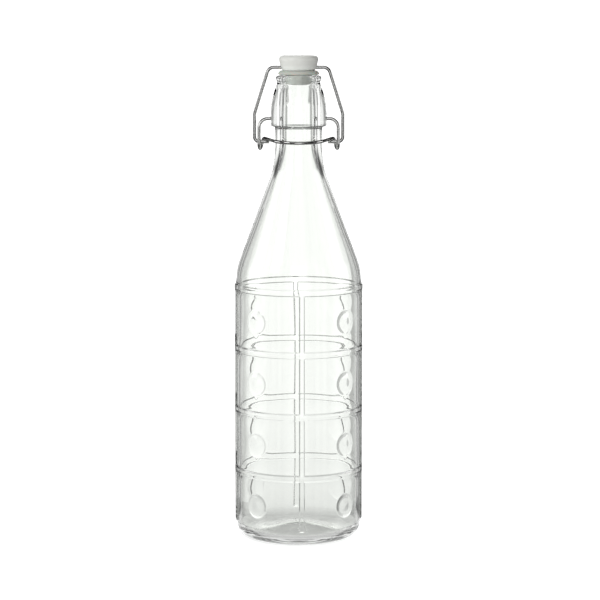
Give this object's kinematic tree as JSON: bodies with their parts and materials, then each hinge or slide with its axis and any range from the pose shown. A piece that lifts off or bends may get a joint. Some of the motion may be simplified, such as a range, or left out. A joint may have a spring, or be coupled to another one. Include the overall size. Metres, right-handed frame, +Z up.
{
  "type": "swing-top glass bottle",
  "caption": "Tall clear glass bottle with ring and upright ribs and round bosses, closed by a plastic stopper on a wire bail that a wire lever pulls down over its centre.",
  "frame": {"origin": "on the table, at the middle of the bottle's base", "axes": "+Z up along the bottle; the lever's thumb bar is at the front, -Y; the closure's pivots lie along X"},
  "size_m": [0.0848, 0.0848, 0.3194],
  "materials": {
    "glass": "clear pressed glass, very faint green at the edges",
    "stopper": "satin white moulded plastic",
    "seal": "pale translucent silicone rubber",
    "bail_steel": "bright drawn steel wire",
    "lever_steel": "bright drawn steel wire"
  },
  "bodies": {
    "bottle": {"bottle": "glass"},
    "lever": {"lever_wire": "lever_steel"},
    "bail": {"bail_wire": "bail_steel"},
    "stopper": {"stopper": "stopper", "gasket": "seal"}
  },
  "joints": [
    {"name": "lever_pivot", "type": "hinge", "parent": "bottle", "child": "lever", "pos_m": [0, 0, 0.2781], "axis": [-1, 0, 0], "range_deg": [0, 77]},
    {"name": "bail_pivot", "type": "hinge", "parent": "lever", "child": "bail", "pos_m": [0, 0.00134, 0.2627], "axis": [-1, 0, 0], "range_deg": [-55.1, 0]},
    {"name": "stopper_pivot", "type": "hinge", "parent": "bail", "child": "stopper", "pos_m": [0, 0, 0.3116], "axis": [-1, 0, 0], "range_deg": [-22, 0]}
  ],
  "couplings": [
    {"joint": "bail_pivot", "follows": "lever_pivot", "ratio": -0.715},
    {"joint": "stopper_pivot", "follows": "lever_pivot", "ratio": -0.285}
  ]
}
